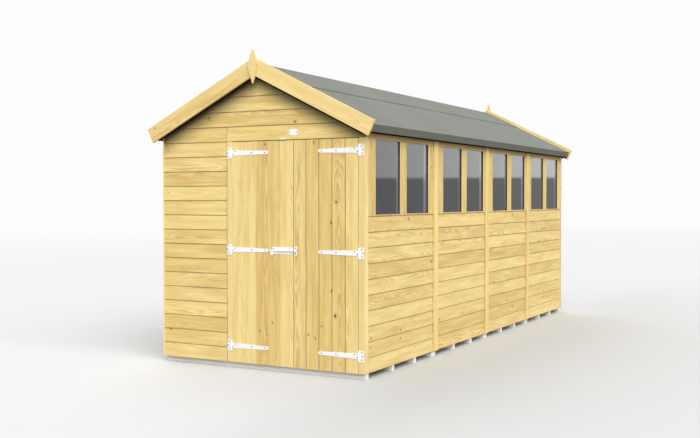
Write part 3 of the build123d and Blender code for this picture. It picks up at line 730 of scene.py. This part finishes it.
# the right leaf's groove walls carry painted shade
leaf_grooves = {"left": (0.0006, 0.0006, 0.0), "right": (0.0012, 0.0064, 3.4)}
leaf_knots = ((0.063, 1.691, 0.6), (0.127, 0.364, 0.5), (0.014, 0.294, 0.5), (0.077, 0.272, 0.5),
              (0.484, 1.692, 0.6), (0.670, 1.262, 0.7), (0.629, 1.115, 0.8), (0.632, 0.624, 0.8),
              (0.547, 0.364, 0.5), (0.436, 0.297, 0.5), (0.496, 0.273, 0.5), (0.660, 0.446, 1.0))


def door_leaf(side, seed):
    """The boards of one leaf; its grooves are given as chamfer, gap and how much painted shade darkens their sides."""
    low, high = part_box(f"{side}_door_boards")
    chamfer, gap, edge = leaf_grooves[side]
    width = (high.x - low.x) / leaf_boards
    first = low.x + width / 2
    marks = [(i, "tone", tone) for i, tone in enumerate(leaf_tones[side])]
    for x, z, size in leaf_knots:
        if low.x < x < high.x:
            board = int((x - low.x) / width)
            marks.append((board, "knot", (z - (low.z + high.z) / 2, x - first - board * width, size)))
    close_boards(f"{side}_leaf_boards", [f"{side}_door_boards"], close_section(width, high.y - low.y, chamfer, gap),
                 lambda across, depth: Vector((first + across, door_face + depth, 0)), up_z, (low.z, high.z),
                 {"Count": leaf_boards, "Step": (width, 0, 0), "Seed": seed, "Finish": door_pine}, marks=marks,
                 knot_chance=0.0, edge=edge)


door_leaf("left", 61)
door_leaf("right", 67)


floor_board_count = 18
floor_chamfer = 0.001
sheathing_count = 11
sheathing_chamfer = 0.0025


def floor_boards():
    low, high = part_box("floor_panels")
    width = (high.x - low.x) / floor_board_count
    module = (high.y - low.y) / panel_count
    first = low.x + width / 2
    close_boards("floor_boards", ["floor_panels"], close_section(width, high.z - low.z, floor_chamfer),
                 lambda across, depth: Vector((first + across, 0, high.z - depth)), along_y,
                 (low.y, low.y + module - panel_gap),
                 {"Count": floor_board_count, "Step": (width, 0, 0), "Bays": panel_count,
                  "Bay step": (0, module, 0), "Seed": 71, "Finish": board_pine})


def sheathing(side, name):
    """Tongued boards under the felt, seen from inside and at the eaves."""
    slope = (eaves_x - felt_thickness * math.cos(pitch)) / math.cos(pitch)
    width = slope / sheathing_count
    down, normal = slope_axes(side)
    first = Vector((0, 0, ridge_z)) - normal * roof_skin + down * (width / 2)
    close_boards(f"{name}_sheathing", [f"{name}_roof_boards"],
                 close_section(width, roof_skin - felt_thickness, sheathing_chamfer),
                 lambda across, depth: first + down * across + normal * depth, along_y, (-roof_end, roof_end),
                 {"Count": sheathing_count, "Step": tuple(down * width), "Seed": 83 + side, "Finish": board_pine},
                 planes=[(Vector(), Vector((-side, 0, 0)))])


floor_boards()
sheathing(-1, "left")
sheathing(1, "right")


# Timber that keeps the solids' shape, with its arrises eased

no_knot = (9.0, 9.0, 0.0)


def loose_pieces(bm):
    """The vertices of each connected solid."""
    left = set(bm.verts)
    groups = []
    while left:
        start = min(left, key=lambda v: v.index)
        reached = {start}
        front_line = [start]
        while front_line:
            vert = front_line.pop()
            for edge in vert.link_edges:
                other = edge.other_vert(vert)
                if other not in reached:
                    reached.add(other)
                    front_line.append(other)
        left -= reached
        groups.append(sorted(reached, key=lambda v: v.index))
    return groups


def grain_axes(verts, along):
    """The length, width and thickness directions of one stick of timber."""
    if along is None:
        edges = {edge for vert in verts for edge in vert.link_edges}
        longest = max(edges, key=lambda e: (round(e.calc_length(), 6), -e.index))
        along = (longest.verts[1].co - longest.verts[0].co).normalized()
    side = along.cross(along_y if abs(along.y) < 0.9 else up_z).normalized()
    other = along.cross(side)

    def extent(axis):
        reach = [vert.co.dot(axis) for vert in verts]
        return max(reach) - min(reach)

    return (along, side, other) if extent(side) > extent(other) else (along, other, side)


def timber(node, finish, along=None, ease=arris, tone=None, edge=0.0, given_knots=()):
    """A copy of a timber node with eased arrises and grain along every stick; edge darkens its sawn edges as painted
    shade, and the two knots are drawn unless they are given."""
    bm = bmesh.new()
    bm.from_mesh(frame["nodes"][node].data)
    bmesh.ops.remove_doubles(bm, verts=bm.verts, dist=1e-6)
    bmesh.ops.dissolve_limit(bm, angle_limit=math.radians(1), verts=bm.verts, edges=bm.edges)
    sharp = [e for e in bm.edges if len(e.link_faces) == 2 and e.calc_face_angle() > math.radians(20)]
    bmesh.ops.bevel(bm, geom=sharp, offset=ease, segments=1, affect="EDGES", clamp_overlap=True)
    bm.verts.index_update()
    bm.edges.index_update()
    grain = [None] * len(bm.verts)
    draws = [0.0] * len(bm.verts)
    knots = {name: [no_knot] * len(bm.verts) for name in knot_names}
    axes_of = {}
    for number, verts in enumerate(loose_pieces(bm)):
        axes = grain_axes(verts, along)
        middle = sum((v.co for v in verts), Vector()) / len(verts)
        length = max(abs((v.co - middle).dot(axes[0])) for v in verts)
        width = max(abs((v.co - middle).dot(axes[1])) for v in verts)
        draw = (number * 0.6180339 + len(node) * 0.137) % 1.0
        for vert in verts:
            away = vert.co - middle
            grain[vert.index] = tuple(away.dot(axis) for axis in axes)
            draws[vert.index] = draw
            for turn, name in enumerate(knot_names[:2]):
                place = (draw * (31.7 + 12.1 * turn)) % 2.0 - 1.0
                size = (draw * (53.3 + 7.9 * turn)) % 2.0 - 1.0
                drawn = (place * length * 0.9, (place * 7.3 % 2.0 - 1.0) * width * 0.6, size)
                knots[name][vert.index] = given_knots[turn] if given_knots else drawn
            for face in vert.link_faces:
                axes_of[face] = axes
    end_grain_and_side_shade = [1.0 if abs(face.normal.dot(axes_of[face][0])) > 0.7
                 else edge if abs(face.normal.dot(axes_of[face][1])) > 0.7 else 0.0 for face in bm.faces]
    mesh = mesh_of(bm, node)
    store(mesh, "grain", grain)
    store(mesh, "board", draws, "FLOAT")
    store(mesh, "tone", [(draw * 7.31) % 1.0 if tone is None else tone for draw in draws], "FLOAT")
    for name, values in knots.items():
        store(mesh, name, values)
    store(mesh, "end", end_grain_and_side_shade, "FLOAT", "FACE")
    piece = show(f"{node}_timber", mesh)
    mesh.materials.append(finish)
    finish_piece(piece, body_of[node], slot_of[node], node)


# edge paints shade on the long sides of these sticks
timber("cover_strips", planed_pine, tone=0.1, edge=1.6)
for node, tone in (("window_uprights", 0.5), ("window_rails", 0.6)):
    timber(node, window_pine, tone=tone, edge=0.8)
timber("door_posts", post_pine, tone=0.1, edge=0.8)
timber("left_barge_boards", planed_pine, along=Vector((math.cos(pitch), 0, math.sin(pitch))), tone=0.5, edge=0.8,
       given_knots=((-0.48, 0.034, 0.8), no_knot))
timber("right_barge_boards", planed_pine, tone=0.35, edge=0.8)
timber("back_frame", planed_pine, tone=0.2, edge=0.8)
timber("finials", planed_pine, along=up_z, ease=0.0005, tone=0.4)
for node in ("side_wall_studs", "side_wall_rails", "front_frame", "rafters", "purlins", "ridge_beam",
             "collar_ties", "eaves_battens", "left_door_ledges", "right_door_ledges"):
    timber(node, framing_pine)
timber("floor_bearers", bearer_pine)


# Nodes that keep their own mesh

def dress(finish, *nodes):
    for node in nodes:
        mesh = frame["nodes"][node].data
        mesh.materials.clear()
        mesh.materials.append(finish)


dress(felt, "left_felt", "right_felt", "left_ridge_felt", "right_ridge_felt")
dress(edge_felt, "felt_fascias")
dress(white_paint, "hinge_plates", "left_hinge_straps", "right_hinge_straps", "bolt_plate", "bolt_keep", "bolt_bar",
      "blank_plate")
dress(button_finish, "turn_button", "button_screw")
dress(pane_glass, "window_panes")


# Thin strips: black reveals, seals and painted reflection bands on the panes, door stops, and near-black felt as
# painted shade under the eaves

def window_bays():
    """Both ends of every pane along the wall."""
    bays = []
    for (start, stop), (near, far) in zip(panel_spans, stile_widths):
        bay = (stop - start - near - far - mullion) / 2
        bays += [(start + near, start + near + bay), (stop - far - bay, stop - far)]
    return bays


def strips(name, boxes, finish, slot, body="shed"):
    """Thin square strips as one piece, each given as its lowest and highest x, y and z."""
    bm = bmesh.new()
    for low, high in boxes:
        corners = [Vector((x, y, low[2])) for x, y in ((low[0], low[1]), (high[0], low[1]), (high[0], high[1]),
                                                       (low[0], high[1]))]
        add_prism(bm, corners, Vector(), up_z * (high[2] - low[2]))
    one_piece(name, bm, finish, slot, body)


def add_prism(bm, outline, low, high):
    mesh = mesh_of(prism(outline, low, high), "part")
    bm.from_mesh(mesh)
    bpy.data.meshes.remove(mesh)


def one_piece(name, bm, finish, slot, body="shed"):
    mesh = mesh_of(bm, name)
    store(mesh, "grain", [(v.co.z + 5, v.co.x, v.co.y) for v in mesh.vertices])
    mesh.materials.append(finish)
    finish_piece(show(name, mesh), body, slot)


glass_face = half_width - cladding
black_reveal_width = 0.0015
black_reveal_face = half_width - 0.001
seal_width = 0.007
seal_face = glass_face + 0.001
painted_reflection_widths = (0.038, 0.068)
reveal_boxes, seal_boxes, painted_reflection_boxes = [], [], []
for number, (start, stop) in enumerate(window_bays()):
    near, far = start + black_reveal_width, stop - black_reveal_width
    # near-black strips on the reveals at both ends of every pane
    reveal_boxes += [((glass_face, low, window_bottom), (black_reveal_face, high, window_top))
                     for low, high in ((start, near), (far, stop))]
    seal_boxes.append(((glass_face, near, window_bottom), (seal_face, near + seal_width, window_top)))
    seal_boxes += [((glass_face, near + seal_width, z), (seal_face, far, z + seal_width))
                   for z in (window_bottom, window_top - seal_width)]
    # painted reflection band at the far end of each pane
    painted_reflection_boxes.append(((glass_face, far - painted_reflection_widths[number % 2], window_bottom + seal_width),
                        (seal_face, far, window_top - seal_width)))
strips("black_reveal_strips", reveal_boxes, black_reveal_finish, "window_glass")
strips("glazing_seals", seal_boxes, edge_glass, "window_glass")
strips("painted_reflection_strips", painted_reflection_boxes, painted_reflection_glass, "window_glass")

leaf_low, leaf_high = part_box("left_door_boards")
right_leaf_low, right_leaf_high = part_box("right_door_boards")
door_gap = right_leaf_low.x - leaf_high.x
stop_width = 0.0045
stop_face = door_face + stand_off
stop_back = door_face + 0.010
bead_back = door_face + 0.006
bead_clearance = 0.0012
strips("door_stops", [((x, stop_face, leaf_low.z), (x + stop_width, stop_back, leaf_high.z))
                      for x in (leaf_low.x - door_gap, right_leaf_high.x + door_gap - stop_width)],
       planed_pine, "pine_boards")
strips("meeting_bead", [((leaf_high.x, stop_face, leaf_low.z),
                         (leaf_high.x + door_gap - bead_clearance, bead_back, leaf_high.z))],
       planed_pine, "pine_boards", "left_door")
corner_proud = 0.0006
corner_back = front + 0.003
corner_below_roof = 0.012
corner_top = roof_point(half_width / math.cos(pitch), roof_skin, 1).z - corner_below_roof
strips("corner_bead", [((-half_width, front - corner_proud, ground_clearance),
                        (-half_width + cladding, corner_back, corner_top))], planed_pine, "pine_boards")


def painted_shade_felt_returns():
    """Felt turned under the eaves battens and the roof's overhangs, with a hem below fascia and barge boards, all
    near-black as painted shade under the eaves and barge boards.
    """
    slope = eaves_x / math.cos(pitch)
    low = roof_skin + batten_depth
    inner = slope - felt_thickness - batten_width - felt_thickness
    wall_u = (half_width + roof_skin * math.sin(pitch)) / math.cos(pitch)
    t = felt_thickness
    eaves = [(slope, low), (slope, low + painted_shade_hem), (slope - t, low + painted_shade_hem), (slope - t, low + t),
             (inner, low + t), (inner, roof_skin + t), (wall_u, roof_skin + t), (wall_u, roof_skin),
             (inner + t, roof_skin), (inner + t, low)]
    rise = math.tan(pitch)
    gable = [(roof_skin * rise, roof_skin), (wall_u, roof_skin), (wall_u, roof_skin + t),
             ((roof_skin + t) * rise, roof_skin + t)]
    foot = barge_foot + painted_shade_hem
    hem = [((roof_skin + t) * rise, roof_skin + t), (inner, roof_skin + t), (inner, foot), (foot * rise, foot)]
    bm = bmesh.new()
    for side in (-1, 1):
        for outline, spans in ((eaves, [(-roof_end, roof_end)]),
                               (gable, [(-roof_end, front), (-front, roof_end)]),
                               (hem, [(-roof_end, -roof_end + t), (roof_end - t, roof_end)])):
            points = [roof_point(u, v, side) for u, v in outline]
            for start, stop in spans:
                add_prism(bm, points, along_y * start, along_y * stop)
    one_piece("painted_shade_felt_returns", bm, near_black_felt, "roofing_felt")


bead_width = 0.006
bead_height = 0.0015


def lap_beads():
    """A near-black bead along both edges of the ridge sheet, darkening the lines at its laps."""
    bm = bmesh.new()
    for side, name in ((-1, "left"), (1, "right")):
        low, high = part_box(f"{name}_ridge_felt")
        u = (ridge_z - low.z) / math.sin(pitch)
        points = [roof_point(u, 0, side), roof_point(u + bead_width, 0, side), roof_point(u, -bead_height, side)]
        add_prism(bm, points, along_y * low.y, along_y * high.y)
    one_piece("lap_beads", bm, near_black_felt, "roofing_felt")


painted_shade_felt_returns()
lap_beads()


# Screws and nails

toward_front = Vector((0, -1, 0))
plate_screws = ((0.025, 0.028), (0.0325, 0.001), (0.025, -0.025))
strap_screws = ((0.0115, -0.008), (0.0365, 0.012), (0.184, 0.001), (0.304, 0.0))
bolt_screws = ((0.1365, 0.917), (0.1365, 0.888), (0.2736, 0.917), (0.2930, 0.890))
hinge_heights = (0.170, 0.900, 1.630)
hinge_screw_height = 0.0014
pin_setback = 0.004
bolt_face = door_face - 0.002
keep_screw_inset = 0.01375
plate_screw_reach = 0.031
plate_screw_depth = 0.0014
nail_radius = 0.0022
nail_height = 0.0004
nail_rise = 0.026
nail_edge = 0.022
front_nails = (-half_width + 0.035, left_post_x - nail_edge)
back_nails = (-0.865, -0.30, 0.30, 0.865)
hidden_rows = 5


def fixings(name, places, body, tree, radius, height, finish, slot):
    """Heads at places given as (point, facing)."""
    mesh = bpy.data.meshes.new(name)
    mesh.from_pydata([tuple(point) for point, _ in places], [], [])
    store(mesh, "facing", [tuple(facing) for _, facing in places])
    piece = grow(name, mesh, tree, {"Radius": radius, "Height": height, "Seed": 3, "Finish": finish})
    finish_piece(piece, body, slot)


def fitting_screws(name, points, body="shed", radius=0.0050, height=0.0012):
    """Screws that face the front, in the white metal fittings."""
    places = [(Vector(point), toward_front) for point in points]
    fixings(name, places, body, screws, radius, height, screw_steel, "white_metal")


hinge_points = []
for side, inward in (("left", 1), ("right", -1)):
    pin_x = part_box(f"{side}_hinge_straps")[0 if inward > 0 else 1].x + inward * pin_setback
    hinge_points += [(pin_x - inward * x, front, z + dz) for z in hinge_heights for x, dz in plate_screws]
    strap_points = [(pin_x + inward * x, front, z + dz) for z in hinge_heights for x, dz in strap_screws]
    fitting_screws(f"{side}_strap_screws", strap_points, f"{side}_door", height=hinge_screw_height)
fitting_screws("hinge_plate_screws", hinge_points, height=hinge_screw_height)
fitting_screws("bolt_plate_screws", [(x, bolt_face, z) for x, z in bolt_screws], "left_door", radius=0.0045)
keep_low, keep_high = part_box("bolt_keep")
fitting_screws("keep_screws", [((keep_low.x + keep_high.x) / 2, bolt_face, z)
                               for z in (keep_low.z + keep_screw_inset, keep_high.z - keep_screw_inset)],
               "right_door")
plate_low, plate_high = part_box("blank_plate")
plate_middle = (plate_low + plate_high) / 2
fitting_screws("plate_screws", [(plate_middle.x + shift, plate_low.y + plate_screw_depth, plate_middle.z)
                                for shift in (-plate_screw_reach, plate_screw_reach)])


def nail_column(x, y, facing, rows):
    """Nails up one stud, a course apart."""
    return [(Vector((x, y, ground_clearance + row * course + nail_rise)), facing) for row in range(rows)]


def wall_nails():
    """A nail through each lapped board at every stud."""
    depth = lap_step * nail_rise / course
    places = []
    for start, stop in panel_spans:
        for y in (start + nail_edge, (start + stop) / 2, stop - nail_edge):
            for side, rows in ((1, sill_courses), (-1, sill_courses + hidden_rows)):
                places += nail_column(side * (half_width - depth), y, Vector((side, 0, 0)), rows)
    for end, columns in ((-1, front_nails), (1, back_nails)):
        for x in columns:
            places += nail_column(x, end * (half_length - depth), Vector((0, end, 0)), door_courses)
    return places


fixings("wall_nails", wall_nails(), "shed", nails, nail_radius, nail_height, nail_steel, "pine_boards")


# Camera, light and floor

background = (0.983, 0.983, 0.983)
# grey of the painted reflection below eye level
painted_reflection_grey = (0.46, 0.46, 0.47)

camera_data = bpy.data.cameras.new("camera")
camera_data.lens = 50
camera_data.sensor_width = 36
camera = show("camera", camera_data)
camera.location = (4.0743, -8.4589, 1.2917)
camera.rotation_euler = (math.radians(90 - 1.243), 0, math.radians(28.544))
bpy.context.scene.camera = camera
bpy.context.scene.view_settings.view_transform = "Standard"


def soft_sun(name, azimuth, elevation, power, spread):
    """Soft light from an azimuth turned from the front towards the right."""
    data = bpy.data.lights.new(name, "SUN")
    data.energy = power
    data.angle = math.radians(spread)
    show(name, data).rotation_euler = (math.radians(90 - elevation), 0, math.radians(azimuth))


soft_sun("front_right_light", 45, 42, 3.15, 55)
soft_sun("back_left_light", 225, 50, 0.95, 50)


def studio_world():
    """Even pale light; the camera sees white, and glossy rays see a painted reflection: grey below eye level and,
    above it, white that grows brighter towards -X.
    """
    world = bpy.data.worlds.new("studio")
    bpy.context.scene.world = world
    world.use_nodes = True
    tree = world.node_tree
    ray = add(tree, "ShaderNodeLightPath").outputs
    parts = parts_of(tree, add(tree, "ShaderNodeTexCoord").outputs["Generated"])
    lit = mix(tree, calc(tree, "ABSOLUTE", parts["Z"]), (0.75, 0.75, 0.75), (0.35, 0.35, 0.35))
    above = smooth_step(tree, parts["Z"], 0.0195, 0.0215)
    # brightness of the painted reflection above eye level
    side = calc(tree, "MINIMUM", scaled(tree, parts["X"], -2.8, 2.54), 1.72)
    side = calc(tree, "MAXIMUM", side, 1.08)
    painted_reflection = mix(tree, above, painted_reflection_grey, vector_of(tree, X=side, Y=side, Z=side))
    colour = mix(tree, ray["Is Glossy Ray"], lit, painted_reflection)
    tree.links.new(mix(tree, ray["Is Camera Ray"], colour, background), tree.nodes["Background"].inputs["Color"])


def studio_floor():
    """A pale floor that keeps the shed's shadow, with painted light in front of the shed and painted shade beside its
    right wall, and fades to the white background.
    """
    material, tree, shader = new_material("pale_floor")
    place = object_place(tree)
    ray = add(tree, "ShaderNodeLightPath").outputs
    parts = parts_of(tree, place)
    plain = mix(tree, noise(tree, place, 1.5, 3.0)["Fac"], (0.560, 0.563, 0.570), (0.580, 0.583, 0.590))
    # painted light: lighter in front of the shed; painted shade: darker to its right, darkest near the right wall
    before = smooth_step(tree, parts["Y"], -2.0, -2.6)
    right = smooth_step(tree, parts["X"], 0.5, 1.7)
    near = smooth_fall(tree, parts["X"], 0.9, 2.6)
    side = mix(tree, near, (0.548, 0.546, 0.542), (0.518, 0.520, 0.516))
    seen_colour_painted_light_and_shade = mix(tree, right, mix(tree, before, plain, (0.622, 0.630, 0.642)), side)
    tree.links.new(mix(tree, ray["Is Camera Ray"], (0.30, 0.29, 0.28), seen_colour_painted_light_and_shade), shader.inputs["Base Color"])
    shader.inputs["Roughness"].default_value = 0.9
    from_shed = vector_calc(tree, "LENGTH", stretch(tree, place, (1.0, 0.6, 1.0)))["Value"]
    far = smooth_step(tree, from_shed, 1.5, 5.5)
    pale = mix(tree, smooth_step(tree, from_shed, 5.0, 30.0), (0.905, 0.907, 0.908), background)
    white = add(tree, "ShaderNodeEmission", {"Color": pale}).outputs[0]
    # painted reflection: glossy rays see the floor as a glowing grey
    grey = add(tree, "ShaderNodeEmission", {"Color": (*painted_reflection_grey, 1)}).outputs[0]
    seen = add(tree, "ShaderNodeMixShader",
               {0: product(tree, ray["Is Camera Ray"], far), 1: shader.outputs[0], 2: white}).outputs[0]
    both = add(tree, "ShaderNodeMixShader", {0: ray["Is Glossy Ray"], 1: seen, 2: grey}).outputs[0]
    tree.links.new(both, tree.nodes["Material Output"].inputs["Surface"])
    mesh = bpy.data.meshes.new("floor")
    reach = 60.0
    mesh.from_pydata([(-reach, -reach, 0), (reach, -reach, 0), (reach, reach, 0), (-reach, reach, 0)], [],
                     [(0, 1, 2, 3)])
    mesh.materials.append(material)
    show("floor", mesh)


studio_world()
studio_floor()
